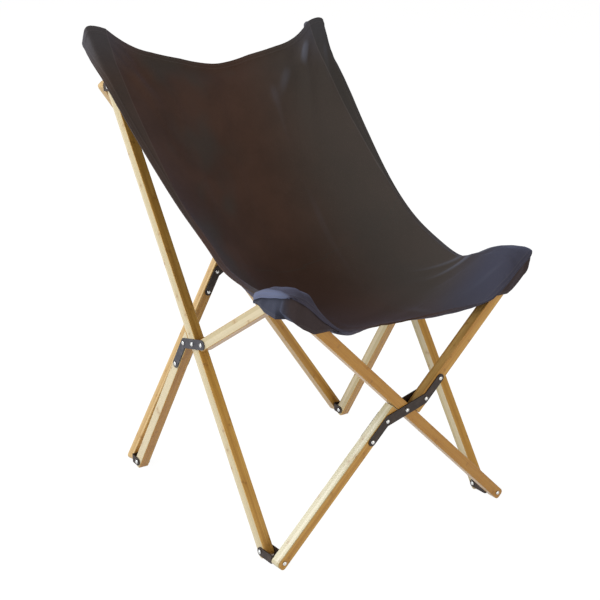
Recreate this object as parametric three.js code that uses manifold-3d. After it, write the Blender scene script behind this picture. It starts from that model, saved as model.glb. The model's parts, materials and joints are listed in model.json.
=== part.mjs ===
// A folding sling chair: a bamboo frame of four scissors carries one canvas sling at its four corners.
// Millimetres, +z up. The sitter faces -y. Left and right are as seen from in front, so left is -x.
// The origin is on the floor, in the middle of the chair's bounding box.
import * as THREE from "three";
import { mergeVertices } from "three/addons/utils/BufferGeometryUtils.js";
import Module from "manifold-3d";

const wasm = await Module();
wasm.setup();

// Stance of the chair
const halfSpan = 277; // centre plane of the chair to the mid-thickness of a side frame
const footSpacing = 460; // front foot rivet to rear foot rivet of a side frame
const footRivetHeight = 14; // foot rivets above the floor

// Bamboo bars
const barWidth = 22.5; // in the plane of the bar's own scissor
const barThickness = 22; // across that plane
const barEase = 1; // chamfer along the long edges
const endRound = 7; // corner radius of a square bar end
const mitreRound = 1.5; // corner radius of a mitred bar end
const footDip = 0.6; // how far a rounded foot would reach below the floor before it is trimmed flat
const rearFootLift = 0.5; // the back frame's feet end this far above the floor

// Side frames: a long bar from front foot to top corner, a leg behind it, a link to the front's top corner
const longBarLean = THREE.MathUtils.degToRad(36.8);
const longBarToCross = 420; // foot rivet to cross rivet
const crossToTop = 562; // cross rivet to the top corner's rivet
const tipBeyondTop = 125; // bar tip beyond the top corner's rivet
const linkEndOverhang = 13; // link ends beyond their rivets

// Split bars: each half lies this far off the line from its foot through the cross rivet
const halfBarOffset = 24.5;
const mitreGap = 1; // open stop: the half bars' mitred ends stand this far off the through bar

// Front frame and its link hinge
const frontReach = 373; // foot rivet to cross rivet of the front frame
const frontFootSetback = 38; // front frame's rear face to the side frame's front foot rivet
const linkHingeSetback = 23.5; // front frame's rear face to the link's front hinge
const linkHingeLift = 4.9; // the link's front hinge above the front frame's top rivet
const frontTopOverhang = 25; // front bars beyond their top rivets

// Back frame, in the leaning plane behind the rear foot rivets and the top corner rivets
const backSetback = 21; // that line of rivets to the back frame's front face
const backTopOverhang = 12; // back bars beyond their top rivets
const rearClipDrop = 5; // a rear foot clip's side rivet below its frame rivet

// Sheet steel plates and clips
const plateThickness = 2.2;
const clearance = 0.3; // between pieces that lie against each other
const armHalfWidth = 8.5; // arms of every plate
const jointHalfWidth = 10.5; // middle leg of the front and back joint plates
const elbowHalfWidth = 10; // upper leg of the side elbow plates
const elbowRound = 8; // outer corner of an elbow plate
const elbowInnerRound = 2;
const plateEndFlat = 0.5; // half of the short flat left at a rounded plate end
const jointNearRivet = 43; // along a half bar, from beside the cross rivet to its nearer plate rivet
const jointRivetSpacing = 49; // between a half bar's two plate rivets
const elbowNearRivet = 22;
const elbowRivetSpacing = 60;
const clipHalfHeight = 8.5;
const clipBendRound = 3; // outer radius where a clip's web turns into its ears

// Rivets
const shankRadius = 2.5;
const headRadius = 4;
const domeHeight = 1.8;
const rivetBed = 0.2; // how deep a fused head sinks into its plate
const roundSides = 10; // facets round a rivet and its hole

// Canvas
const canvasThickness = 1.6;
const pocketWall = 1.4;
const edgeHem = 12; // least width of the flat band along the sling's side edges
const wingInset = 15; // the sling's flat wings start this far inside the side frames' mid-thickness
const rimRise = 23; // front corners of the sling above the link hinges
const edgeSag = 123; // deepest drop of a side edge below the line from top corner to front corner
const middleSag = 260; // the same for the sling's middle line
const topPocketDepth = 100;
const pocketLooseness = 0.4; // between a bar's front face and the pocket over it
const topPocketSlack = 14; // the top pockets bulge this far outside the long bars
const topPocketInnerSlack = 2.5; // and this far inside them
const topPocketRearSlack = 5;
const topPocketCap = 8.5; // top pocket above the bar tip
const frontPocketSlack = 14; // front pockets in front of the bars they cover
const frontPocketSideSlack = 16; // front pockets outside the links
const frontPocketInnerSlack = 8; // and inside them
const frontPocketRearSlack = 3.8; // behind the front bars
const pocketRound = 9;

// Facets and overruns
const arcSteps = 2; // pairs of facets in each rounded corner
const overrun = 2; // how far a cutting tool passes the face that it cuts
const weldDistance = 1e-4;

const bamboo = new THREE.MeshStandardMaterial({ color: 0xc99a5b, roughness: 0.55, metalness: 0 });
const steel = new THREE.MeshStandardMaterial({ color: 0x2a2523, roughness: 0.5, metalness: 0.6 });
const brightSteel = new THREE.MeshStandardMaterial({ color: 0xb9bcc0, roughness: 0.3, metalness: 1 });
const canvas = new THREE.MeshStandardMaterial({ color: 0x33302f, roughness: 0.95, metalness: 0 });

// Joining and cutting
function toSolid(geometry) {
  const bare = geometry.clone();
  bare.deleteAttribute("normal");
  bare.deleteAttribute("uv");
  const merged = mergeVertices(bare, weldDistance);
  const triVerts = new Uint32Array(merged.index.array);
  const vertProperties = new Float32Array(merged.attributes.position.array);
  return new wasm.Manifold(new wasm.Mesh({ numProp: 3, vertProperties, triVerts }));
}

function toGeometry(solid) {
  const { vertProperties, triVerts } = solid.getMesh();
  const geometry = new THREE.BufferGeometry();
  geometry.setAttribute("position", new THREE.BufferAttribute(vertProperties, 3));
  geometry.setIndex(new THREE.BufferAttribute(triVerts, 1));
  geometry.computeVertexNormals();
  return geometry;
}

function combine(operation, first, others) {
  const start = toSolid(first);
  return toGeometry(others.reduce((solid, other) => solid[operation](toSolid(other)), start));
}

const join = (first, others) => combine("add", first, others);
const cut = (first, tools) => combine("subtract", first, tools);
const overlap = (first, others) => combine("intersect", first, others);

function piece(name, geometry, material) {
  const mesh = new THREE.Mesh(geometry, material);
  mesh.name = name;
  return mesh;
}

function placed(object, x, y, z = 0, turn = 0) {
  object.position.set(x, y, z);
  object.rotation.z = turn;
  return object;
}

// A closed outline through [x, y, radius] corners, each rounded by its radius
function roundedShape(corners) {
  const shape = new THREE.Shape();
  corners.forEach(([x, y, radius = 0], i) => {
    const before = corners.at(i - 1);
    const after = corners[(i + 1) % corners.length];
    const into = new THREE.Vector2(x - before[0], y - before[1]).normalize();
    const out = new THREE.Vector2(after[0] - x, after[1] - y).normalize();
    const turn = Math.atan2(into.cross(out), into.dot(out));
    if (!radius) {
      if (i) shape.lineTo(x, y);
      else shape.moveTo(x, y);
      return;
    }
    const side = Math.sign(turn);
    const setback = radius * Math.tan(Math.abs(turn) / 2);
    const centreX = x - into.x * setback - into.y * side * radius;
    const centreY = y - into.y * setback + into.x * side * radius;
    const start = into.angle() - (side * Math.PI) / 2;
    const tangent = new THREE.Vector2(x, y).addScaledVector(into, -setback);
    if (i) shape.lineTo(tangent.x, tangent.y);
    else shape.moveTo(tangent.x, tangent.y);
    shape.absarc(centreX, centreY, radius, start, start + turn, side < 0);
  });
  return shape;
}

// A prism over an outline, from z = 0 up
function prism(corners, depth) {
  const options = { depth, bevelEnabled: false, curveSegments: arcSteps };
  return new THREE.ExtrudeGeometry(roundedShape(corners), options);
}

// Corners of a strip of sheet along a path of points, each leg with its own half width
function stripCorners(path, halfWidths, outerRound, innerRound) {
  const legs = path.slice(1).map((point, i) => point.clone().sub(path[i]).normalize());
  const across = legs.map((leg) => new THREE.Vector2(-leg.y, leg.x));
  const corner = (side) => (point, i) => {
    const last = i === path.length - 1;
    if (i === 0 || last) {
      const leg = last ? i - 1 : 0;
      const width = halfWidths[leg];
      const spot = point.clone().addScaledVector(legs[leg], last ? width : -width);
      spot.addScaledVector(across[leg], side * width);
      return [spot.x, spot.y, width - plateEndFlat];
    }
    const [a, b] = [i - 1, i];
    const slide = (halfWidths[b] - halfWidths[a] * across[a].dot(across[b])) / legs[a].dot(across[b]);
    const spot = point.clone().addScaledVector(across[a], side * halfWidths[a]);
    spot.addScaledVector(legs[a], side * slide);
    const outer = side * legs[a].cross(legs[b]) < 0;
    return [spot.x, spot.y, outer ? outerRound : innerRound];
  };
  return [...path.map(corner(-1)), ...path.map(corner(1)).reverse()];
}

// Rivets run along local z, with domed heads that rest on the planes z = low and z = high
function rivetGeometry(low, high, { lowHead = true, highHead = true } = {}) {
  const shoulder = headRadius * Math.SQRT1_2;
  const rise = domeHeight * Math.SQRT1_2;
  const profile = [[0, lowHead ? low - domeHeight : low]];
  if (lowHead) profile.push([shoulder, low - rise], [headRadius, low]);
  profile.push([shankRadius, low], [shankRadius, high]);
  if (highHead) profile.push([headRadius, high], [shoulder, high + rise]);
  profile.push([0, highHead ? high + domeHeight : high]);
  const points = profile.map(([radius, along]) => new THREE.Vector2(radius, along));
  return new THREE.LatheGeometry(points, roundSides).rotateX(Math.PI / 2);
}

function rivetHole(length) {
  const radius = shankRadius + clearance;
  return new THREE.CylinderGeometry(radius, radius, length + overrun, roundSides).rotateX(Math.PI / 2);
}

// A head without its shank, fused to a face at z = 0 and domed towards +z
function fusedHead() {
  return rivetGeometry(-plateThickness / 2, -rivetBed, { lowHead: false });
}

// Bars stand on their foot rivet at the local origin and run up local +y, with their thickness along z
const squareEnd = (along, towards) => [
  [(-towards * barWidth) / 2, along, endRound],
  [(towards * barWidth) / 2, along, endRound],
];

function barGeometry(corners, rivets) {
  const depth = barThickness - 2 * barEase;
  const ease = { bevelThickness: barEase, bevelSize: barEase, bevelOffset: -barEase, bevelSegments: 1 };
  const options = { depth, curveSegments: arcSteps, ...ease };
  const block = new THREE.ExtrudeGeometry(roundedShape(corners), options);
  block.translate(0, 0, -depth / 2);
  return cut(block, rivets.map((along) => rivetHole(barThickness).translate(0, along, 0)));
}

function throughBar(length, lowOverhang, highOverhang, rivets) {
  return barGeometry([...squareEnd(-lowOverhang, 1), ...squareEnd(length + highOverhang, -1)], rivets);
}

// A half bar ends in a mitre that lies parallel to the through bar and stops it when the scissor is open.
// run is the length from the foot rivet to beside the cross rivet, pivotSide the side that rivet is on,
// and spread the angle between the half bar and the through bar.
function halfBar(run, overhang, pivotSide, spread, rivets) {
  const mitre = (across) => {
    const standOff = barWidth / 2 + mitreGap + (across * pivotSide - halfBarOffset) * Math.cos(spread);
    return [across, run - standOff / Math.sin(spread), mitreRound];
  };
  const corners = [...squareEnd(-overhang, 1), mitre(barWidth / 2), mitre(-barWidth / 2)];
  return barGeometry(corners, rivets);
}

// Distance from a foot rivet to the bar's square end that just dips below the floor
function footOverhang(height, lean, dip) {
  const cornerInset = barWidth / 2 - endRound;
  return endRound + (height - endRound + dip - cornerInset * Math.sin(lean)) / Math.cos(lean);
}

// Opens a left-hand pocket round the bars that leave it: their own room, with the pocket's looseness. The
// right-hand pocket mirrors it, so a bar on the right is given by its mirror image.
function clearOfBars(chair, pocket, bars) {
  chair.updateMatrixWorld(true);
  const rooms = bars.map(([name, side]) => {
    const bar = chair.getObjectByName(name);
    bar.geometry.computeBoundingBox();
    const size = bar.geometry.boundingBox.getSize(new THREE.Vector3()).addScalar(2 * pocketLooseness);
    const centre = bar.geometry.boundingBox.getCenter(new THREE.Vector3());
    const room = new THREE.BoxGeometry(size.x, size.y, size.z).translate(0, centre.y, 0);
    const place = new THREE.Matrix4().makeScale(side, 1, 1).multiply(bar.matrixWorld);
    return room.applyMatrix4(place.scale(new THREE.Vector3(side, 1, 1)));
  });
  pocket.geometry = cut(pocket.geometry, rooms);
}

// Trims a bar that already has its place in the chair flat along the floor
function trimAtFloor(chair, names) {
  chair.updateMatrixWorld(true);
  for (const name of names) {
    const mesh = chair.getObjectByName(name);
    const size = barThickness + barWidth;
    const ground = new THREE.BoxGeometry(2 * size, 2 * size, size);
    const foot = new THREE.Vector3().setFromMatrixPosition(mesh.matrixWorld);
    ground.translate(foot.x, foot.y, -size / 2);
    mesh.geometry = cut(mesh.geometry, [ground.applyMatrix4(mesh.matrixWorld.clone().invert())]);
  }
}

// Sheet steel lies against the bars on both sides, and rivet heads lie against the sheet
const sheetSeat = barThickness / 2 + clearance;
const sheetFace = sheetSeat + plateThickness;
const headSeat = sheetFace + clearance;

function holesAt(points) {
  return points.map(({ x, y }) => rivetHole(2 * headSeat).translate(x, y, 0));
}

// Two plates on either side of a scissor. The rivets in the half bars are fused to the plate on the given
// side, pass through the bars and are headed over on the other plate. Both turn on the moving rivets.
function platePair(names, corners, fixed, moving, side) {
  const underside = (face) => (face > 0 ? sheetSeat : -sheetFace);
  const blank = (face) => prism(corners, plateThickness).translate(0, 0, underside(face));
  const bed = sheetFace - rivetBed;
  const [low, high] = side > 0 ? [-headSeat, bed] : [-bed, headSeat];
  const studs = fixed.map(({ x, y }) => rivetGeometry(low, high).translate(x, y, 0));
  const first = join(cut(blank(side), holesAt(moving)), studs);
  const second = cut(blank(-side), holesAt([...fixed, ...moving]));
  return [piece(names[0], first, steel), piece(names[1], second, steel)];
}

// A corner clip is one bent strip: a web riveted to the front or back frame, and two ears that reach the
// given distance along local +z to the side frame's rivet, which lies lift above the web's own.
// Where the frame or side rivet is open, the clip has that rivet's heads, and the bar keeps its shank.
function clipGeometry(reach, lift, { openFrame = false, openSide = false } = {}) {
  const end = reach + clipHalfHeight + overrun;
  const innerBend = clipBendRound - plateThickness;
  const channel = prism(
    [
      [-sheetFace, end],
      [-sheetFace, 0, clipBendRound],
      [sheetFace, 0, clipBendRound],
      [sheetFace, end],
      [sheetSeat, end],
      [sheetSeat, plateThickness, innerBend],
      [-sheetSeat, plateThickness, innerBend],
      [-sheetSeat, end],
    ],
    2 * end,
  );
  channel.translate(0, 0, -end).rotateX(Math.PI / 2);
  const path = [new THREE.Vector2(0, 0), new THREE.Vector2(reach, lift)];
  const strip = prism(stripCorners(path, [clipHalfHeight], 0, 0), 2 * headSeat);
  strip.translate(0, 0, -headSeat).rotateY(-Math.PI / 2);
  const bent = overlap(channel, [strip]);
  const webHole = rivetHole(plateThickness).translate(0, 0, plateThickness / 2);
  const earHole = rivetHole(2 * headSeat).rotateY(Math.PI / 2).translate(0, lift, reach);
  const drilled = cut(bent, [...(openFrame ? [] : [webHole]), ...(openSide ? [] : [earHole])]);
  const heads = [];
  if (openFrame) heads.push(fusedHead().translate(0, 0, plateThickness));
  if (openSide) {
    for (const side of [-1, 1]) {
      const head = fusedHead().rotateY((side * Math.PI) / 2);
      heads.push(head.translate(side * sheetFace, lift, reach));
    }
  }
  return heads.length ? join(drilled, heads) : drilled;
}

// A clip with its side rivet, and the frame rivet through the bar that the clip hangs on.
// face is +1 where the clip lies on the frame's front and -1 where it lies on its rear.
function corner(place, x, y, face, reach, lift, open = {}) {
  const mount = placed(new THREE.Group(), x, y, face * sheetSeat);
  mount.rotation.y = face > 0 ? 0 : Math.PI;
  mount.add(piece(`${place}_clip`, clipGeometry(reach, lift, open), steel));
  const pin = { lowHead: !open.openSide, highHead: !open.openSide };
  const pinEnd = open.openSide ? barThickness / 2 : headSeat;
  const sideRivet = rivetGeometry(-pinEnd, pinEnd, pin).rotateY(Math.PI / 2).translate(0, lift, reach);
  mount.add(piece(`${place}_side_rivet`, sideRivet, brightSteel));
  const clipEnd = open.openFrame ? barThickness / 2 : headSeat;
  const frameRivet =
    face > 0
      ? rivetGeometry(-sheetSeat, clipEnd, { highHead: !open.openFrame })
      : rivetGeometry(-clipEnd, sheetSeat, { lowHead: !open.openFrame });
  return [mount, placed(piece(`${place}_frame_rivet`, frameRivet, brightSteel), x, y)];
}

// The front or back frame, in its own plane with +y up and +z to the front, its foot rivets at y = 0.
// A through bar from right foot to left top is crossed by a split bar from left foot to right top.
function crossFrame(label, reach, highOverhang, lowOverhang) {
  const frame = new THREE.Group();
  const rise = Math.sqrt(reach ** 2 - halfSpan ** 2);
  const lean = Math.asin(halfSpan / reach);
  const run = Math.sqrt(reach ** 2 - halfBarOffset ** 2);
  const halfLean = lean - Math.asin(halfBarOffset / reach);
  const near = run - jointNearRivet;
  const far = near - jointRivetSpacing;
  const through = throughBar(2 * reach, lowOverhang(lean), highOverhang, [0, reach, 2 * reach]);
  frame.add(placed(piece(`${label}_through_bar`, through, bamboo), halfSpan, 0, 0, lean));
  const half = (overhang) => halfBar(run, overhang, 1, lean + halfLean, [0, far, near]);
  const lower = piece(`${label}_lower_bar`, half(lowOverhang(halfLean)), bamboo);
  frame.add(placed(lower, -halfSpan, 0, 0, -halfLean));
  const upper = piece(`${label}_upper_bar`, half(highOverhang), bamboo);
  frame.add(placed(upper, halfSpan, 2 * rise, 0, Math.PI - halfLean));

  const pivot = new THREE.Vector2(0, rise);
  const upHalf = new THREE.Vector2(Math.sin(halfLean), Math.cos(halfLean));
  const onHalf = (along) => new THREE.Vector2(-halfSpan, 0).addScaledVector(upHalf, along);
  const opposite = (point) => pivot.clone().multiplyScalar(2).sub(point);
  const path = [onHalf(far), onHalf(near), opposite(onHalf(near)), opposite(onHalf(far))];
  const corners = stripCorners(path, [armHalfWidth, jointHalfWidth, armHalfWidth], 0, 0);
  const names = [`${label}_joint_plate_front`, `${label}_joint_plate_rear`];
  frame.add(...platePair(names, corners, path, [pivot], 1));
  const pin = rivetGeometry(-headSeat, headSeat);
  frame.add(placed(piece(`${label}_cross_rivet`, pin, brightSteel), 0, rise));
  return { frame, top: 2 * rise };
}

const footRivetY = footSpacing / 2;
const frontRearFace = -footRivetY - frontFootSetback;

function frontFrame() {
  const lowOverhang = (lean) => footOverhang(footRivetHeight, lean, footDip);
  const { frame, top } = crossFrame("front", frontReach, frontTopOverhang, lowOverhang);
  frame.position.set(0, frontRearFace - barThickness / 2, footRivetHeight);
  frame.rotation.x = Math.PI / 2;
  const footReach = frontFootSetback - clearance;
  const topReach = linkHingeSetback - clearance;
  for (const [side, x] of [["left", -halfSpan], ["right", halfSpan]]) {
    frame.add(...corner(`front_${side}_foot`, x, 0, -1, footReach, 0));
    frame.add(...corner(`front_${side}_top`, x, top, -1, topReach, linkHingeLift, { openSide: true }));
  }
  return { frame, top };
}

// The back frame leans with the line from a rear foot rivet to the top corner's rivet
function backFrame(topCorner) {
  const line = topCorner.clone().sub({ x: footSpacing, y: 0 });
  const tilt = Math.atan2(line.x, line.y);
  const height = line.length() - rearClipDrop;
  const reach = Math.hypot(halfSpan, height / 2);
  const setback = backSetback + barThickness / 2;
  const rearFaceHeight =
    footRivetHeight + rearClipDrop * Math.cos(tilt) - (backSetback + barThickness) * Math.sin(tilt);
  const lowOverhang = (lean) => footOverhang(rearFaceHeight / Math.cos(tilt), lean, -rearFootLift);
  const { frame, top } = crossFrame("back", reach, backTopOverhang, lowOverhang);
  frame.position.set(
    0,
    footRivetY + rearClipDrop * Math.sin(tilt) + setback * Math.cos(tilt),
    footRivetHeight + rearClipDrop * Math.cos(tilt) - setback * Math.sin(tilt),
  );
  frame.rotation.x = Math.PI / 2 - tilt;
  const clipReach = backSetback - clearance;
  for (const [side, x] of [["left", -halfSpan], ["right", halfSpan]]) {
    const openFoot = { openFrame: side === "right" };
    frame.add(...corner(`rear_${side}_foot`, x, 0, 1, clipReach, -rearClipDrop, openFoot));
    frame.add(...corner(`back_${side}_top`, x, top, 1, clipReach, 0, { openFrame: true }));
  }
  return frame;
}

// Stands a shape drawn as seen from the left, +x to the rear and +y up, in the chair
const fromSide = new THREE.Matrix4().makeBasis(
  new THREE.Vector3(0, 1, 0),
  new THREE.Vector3(0, 0, 1),
  new THREE.Vector3(1, 0, 0),
);

// The left side frame, in its own plane with +x to the rear, +y up and +z inwards, its front foot rivet at
// the origin
function sideFrame(hinge) {
  const frame = new THREE.Group();
  const up = new THREE.Vector2(Math.sin(longBarLean), Math.cos(longBarLean));
  const cross = up.clone().multiplyScalar(longBarToCross);
  const length = longBarToCross + crossToTop;
  const lowOverhang = footOverhang(footRivetHeight, longBarLean, footDip);
  const longBar = throughBar(length, lowOverhang, tipBeyondTop, [0, longBarToCross, length]);
  frame.add(placed(piece("left_long_bar", longBar, bamboo), 0, 0, 0, -longBarLean));

  const legReach = Math.hypot(footSpacing - cross.x, cross.y);
  const run = Math.sqrt(legReach ** 2 - halfBarOffset ** 2);
  const legLean = Math.asin((footSpacing - cross.x) / legReach) - Math.asin(halfBarOffset / legReach);
  const near = run - elbowNearRivet;
  const far = near - elbowRivetSpacing;
  const legOverhang = footOverhang(footRivetHeight, legLean, footDip);
  const leg = halfBar(run, legOverhang, -1, longBarLean + legLean, [0, far, near]);
  frame.add(placed(piece("left_rear_leg", leg, bamboo), footSpacing, 0, 0, legLean));

  const upLeg = new THREE.Vector2(-Math.sin(legLean), Math.cos(legLean));
  const onLeg = (along) => new THREE.Vector2(footSpacing, 0).addScaledVector(upLeg, along);
  const linkRivet = cross.clone().multiplyScalar(2).sub(onLeg(near));
  const path = [onLeg(far), onLeg(near), linkRivet];
  const corners = stripCorners(path, [armHalfWidth, elbowHalfWidth], elbowRound, elbowInnerRound);
  const names = ["left_elbow_plate_outer", "left_elbow_plate_inner"];
  frame.add(...platePair(names, corners, [onLeg(far), onLeg(near)], [cross, linkRivet], -1));
  const pin = () => rivetGeometry(-headSeat, headSeat);
  frame.add(placed(piece("left_cross_rivet", pin(), brightSteel), cross.x, cross.y));
  frame.add(placed(piece("left_link_rivet", pin(), brightSteel), linkRivet.x, linkRivet.y));

  const span = hinge.clone().sub(linkRivet);
  const link = throughBar(span.length(), linkEndOverhang, linkEndOverhang, [0, span.length()]);
  const turn = Math.atan2(-span.x, span.y);
  frame.add(placed(piece("left_link", link, bamboo), linkRivet.x, linkRivet.y, 0, turn));

  const pocket = piece("top_left_pocket", topPocket(length + tipBeyondTop), canvas);
  frame.add(placed(pocket, 0, 0, 0, -longBarLean));
  frame.matrixAutoUpdate = false;
  frame.matrix.copy(fromSide).setPosition(-halfSpan, -footRivetY, footRivetHeight);
  return frame;
}

// Moves each edge of an outline inwards by its own distance; edge i runs from corner i to the next
function insetCorners(corners, distances) {
  const edges = corners.map(([x, y], i) => {
    const [nextX, nextY] = corners[(i + 1) % corners.length];
    const along = new THREE.Vector2(nextX - x, nextY - y).normalize();
    const inwards = new THREE.Vector2(-along.y, along.x);
    return { along, inwards, start: new THREE.Vector2(x, y).addScaledVector(inwards, distances[i]) };
  });
  return corners.map(([, , radius = 0], i) => {
    const before = edges.at(i - 1);
    const after = edges[i];
    const gap = after.start.clone().sub(before.start);
    const slide = gap.dot(after.inwards) / before.along.dot(after.inwards);
    const spot = before.start.clone().addScaledVector(before.along, slide);
    return [spot.x, spot.y, Math.max(radius - pocketWall, 0)];
  });
}

// The pocket over a long bar's tip, in the bar's own axes: closed at the tip, open towards the foot
function topPocket(barTip) {
  const front = -(barWidth / 2 + pocketLooseness + pocketWall);
  const rear = barWidth / 2 + topPocketRearSlack;
  const start = barTip - topPocketDepth;
  const end = barTip + topPocketCap;
  const outline = [
    [front, start],
    [rear, start],
    [rear, end, pocketRound],
    [front, end, pocketRound],
  ];
  const outer = -(barThickness / 2 + topPocketSlack);
  const inner = barThickness / 2 + topPocketInnerSlack;
  const bag = prism(outline, inner - outer).translate(0, 0, outer);
  const inset = insetCorners(outline, [-overrun, pocketWall, pocketWall, pocketWall]);
  const hollow = prism(inset, inner - outer - 2 * pocketWall).translate(0, 0, outer + pocketWall);
  return cut(bag, [hollow]);
}

// The front left pocket wraps the corner where the front frame meets the link: one wing runs along the
// front, seen from in front, and one along the side, seen from the left. It is open below.
const frontPocketSpan = 114; // its outer side to the end of its front wing
const frontPocketReach = 128; // its front to the end of its side wing
const frontPocketDrop = 84; // its rim to its lowest edge
const frontPocketRim = 27; // its rim above the link hinge

// Each wing's outline, as shares of its length from the outer corner and of the drop below the rim
const frontWingShares = [
  [0, 0.64],
  [0.56, 1],
  [0.95, 0.98],
  [1, 0.93],
  [0.75, 0.65],
  [0.36, 0.17],
  [0.13, 0],
  [0, 0.06],
];
const sideWingShares = [
  [0, 0.64],
  [0.33, 0.68],
  [0.98, 0.52],
  [1, 0.45],
  [0.88, 0.29],
  [0.62, 0.06],
  [0.46, 0],
  [0.13, 0],
  [0, 0.06],
];

function frontPocket(hingeHeight) {
  const outerX = -(halfSpan + barThickness / 2 + frontPocketSideSlack);
  const innerX = -(halfSpan - barThickness / 2 - frontPocketInnerSlack);
  const frontY = frontRearFace - barThickness - frontPocketSlack;
  const rearY = frontRearFace + frontPocketRearSlack;
  const rim = hingeHeight + frontPocketRim;
  const wing = (shares, start, length, belowEdges, low, high, turned) => {
    const outline = shares.map(([along, down]) => [start + along * length, rim - down * frontPocketDrop]);
    const inset = outline.map((_, i) => (i < belowEdges ? -overrun : pocketWall));
    const solid = (corners, from, to) => turned(prism(corners, to - from).translate(0, 0, from));
    const hollow = solid(insetCorners(outline, inset), low + pocketWall, high - pocketWall);
    return { bag: solid(outline, low, high), hollow };
  };
  const seenFromFront = (geometry) => geometry.rotateX(Math.PI / 2);
  const seenFromSide = (geometry) => geometry.applyMatrix4(fromSide);
  const front = wing(frontWingShares, outerX, frontPocketSpan, 2, -rearY, -frontY, seenFromFront);
  const side = wing(sideWingShares, frontY, frontPocketReach, 2, outerX, innerX, seenFromSide);
  return cut(join(front.bag, [side.bag]), [join(front.hollow, [side.hollow])]);
}

// The sling's stations from the top hem to the front hem. Each gives a side edge and the middle line, as
// shares along the line from top corner to front corner and of their own greatest sag below that line,
// the half width as a share of seatHalfWidth, and the power of the curve from middle to edge. Near the
// top the side edges are wings in front of the long bars: these are shares of the top pocket's depth
// below the bar's tip and of the wing's least distance in front of the bar's middle.
const slingStationShares = [
  { wing: [-0.09, 1.09], width: 1.102, middle: [0.077, 0.203], power: 1.6 },
  { wing: [0.2, 1.04], width: 1.176, middle: [0.102, 0.251], power: 1.6 },
  { wing: [0.8, 1.08], width: 1.18, middle: [0.15, 0.305], power: 1.6 },
  { wing: [1.89, 2.02], width: 1.153, middle: [0.231, 0.446], power: 1.65 },
  { edge: [0.377, 0.68], width: 1.11, middle: [0.33, 0.617], power: 1.7 },
  { edge: [0.539, 0.891], width: 1.06, middle: [0.483, 0.835], power: 1.8 },
  { edge: [0.688, 0.969], width: 1.029, middle: [0.656, 0.979], power: 2 },
  { edge: [0.802, 0.932], width: 1.037, middle: [0.802, 0.976], power: 2.2 },
  { edge: [0.912, 0.703], width: 1, middle: [0.928, 0.815], power: 2.6 },
  { edge: [0.96, 0.366], width: 1, middle: [0.998, 0.632], power: 3.1 },
  { edge: [0.999, 0.008], width: 1, middle: [1.053, 0.441], power: 3.5 },
];
const creaseShare = 0.65; // where the back meets the seat, along the stations
const wingSeat = barWidth / 2 + pocketLooseness + pocketWall + clearance + canvasThickness / 2;
const seatHalfWidth = halfSpan - barThickness / 2 - frontPocketInnerSlack - pocketLooseness;
const wingColumns = 1;
const bowlColumns = 22;
const backRows = 16;
const seatRows = 13;
const edgeCrowdingShare = 0.35; // how much the columns crowd towards the side edges

function slingSurface(top, front, barUp) {
  const along = front.clone().sub(top);
  const length = along.length();
  along.normalize();
  const down = new THREE.Vector2(-along.y, along.x);
  if (down.y > 0) down.negate();
  const at = ([share, sagShare], sag) =>
    top.clone().addScaledVector(along, share * length).addScaledVector(down, sagShare * sag);
  const barFront = new THREE.Vector2(-barUp.y, barUp.x);
  const onBar = ([below, before]) =>
    top
      .clone()
      .addScaledVector(barUp, -below * topPocketDepth)
      .addScaledVector(barFront, before * wingSeat);
  const spline = (pick) => new THREE.SplineCurve(slingStationShares.map(pick));
  const edge = spline(({ wing, edge: spot }) => (wing ? onBar(wing) : at(spot, edgeSag)));
  const middle = spline((station) => at(station.middle, middleSag));
  const breadth = spline((station) => new THREE.Vector2(station.width * seatHalfWidth, station.power));
  return (share, column) => {
    const { x: halfWidth, y: power } = breadth.getPoint(share);
    const bowl = Math.min(halfSpan - wingInset, halfWidth - edgeHem);
    const steps = column - wingColumns - bowlColumns / 2;
    const outward = Math.min(Math.abs(steps) / (bowlColumns / 2), 1);
    const crowded = outward + edgeCrowdingShare * (Math.sin((outward * Math.PI) / 2) - outward);
    const wing = Math.max(Math.abs(steps) - bowlColumns / 2, 0) / wingColumns;
    const lift = crowded ** power;
    const side = Math.sign(steps);
    const onEdge = edge.getPoint(share);
    const profile = middle.getPoint(share).lerp(onEdge, lift);
    return new THREE.Vector3(side * (crowded * bowl + wing * (halfWidth - bowl)), profile.x, profile.y);
  };
}

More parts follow.
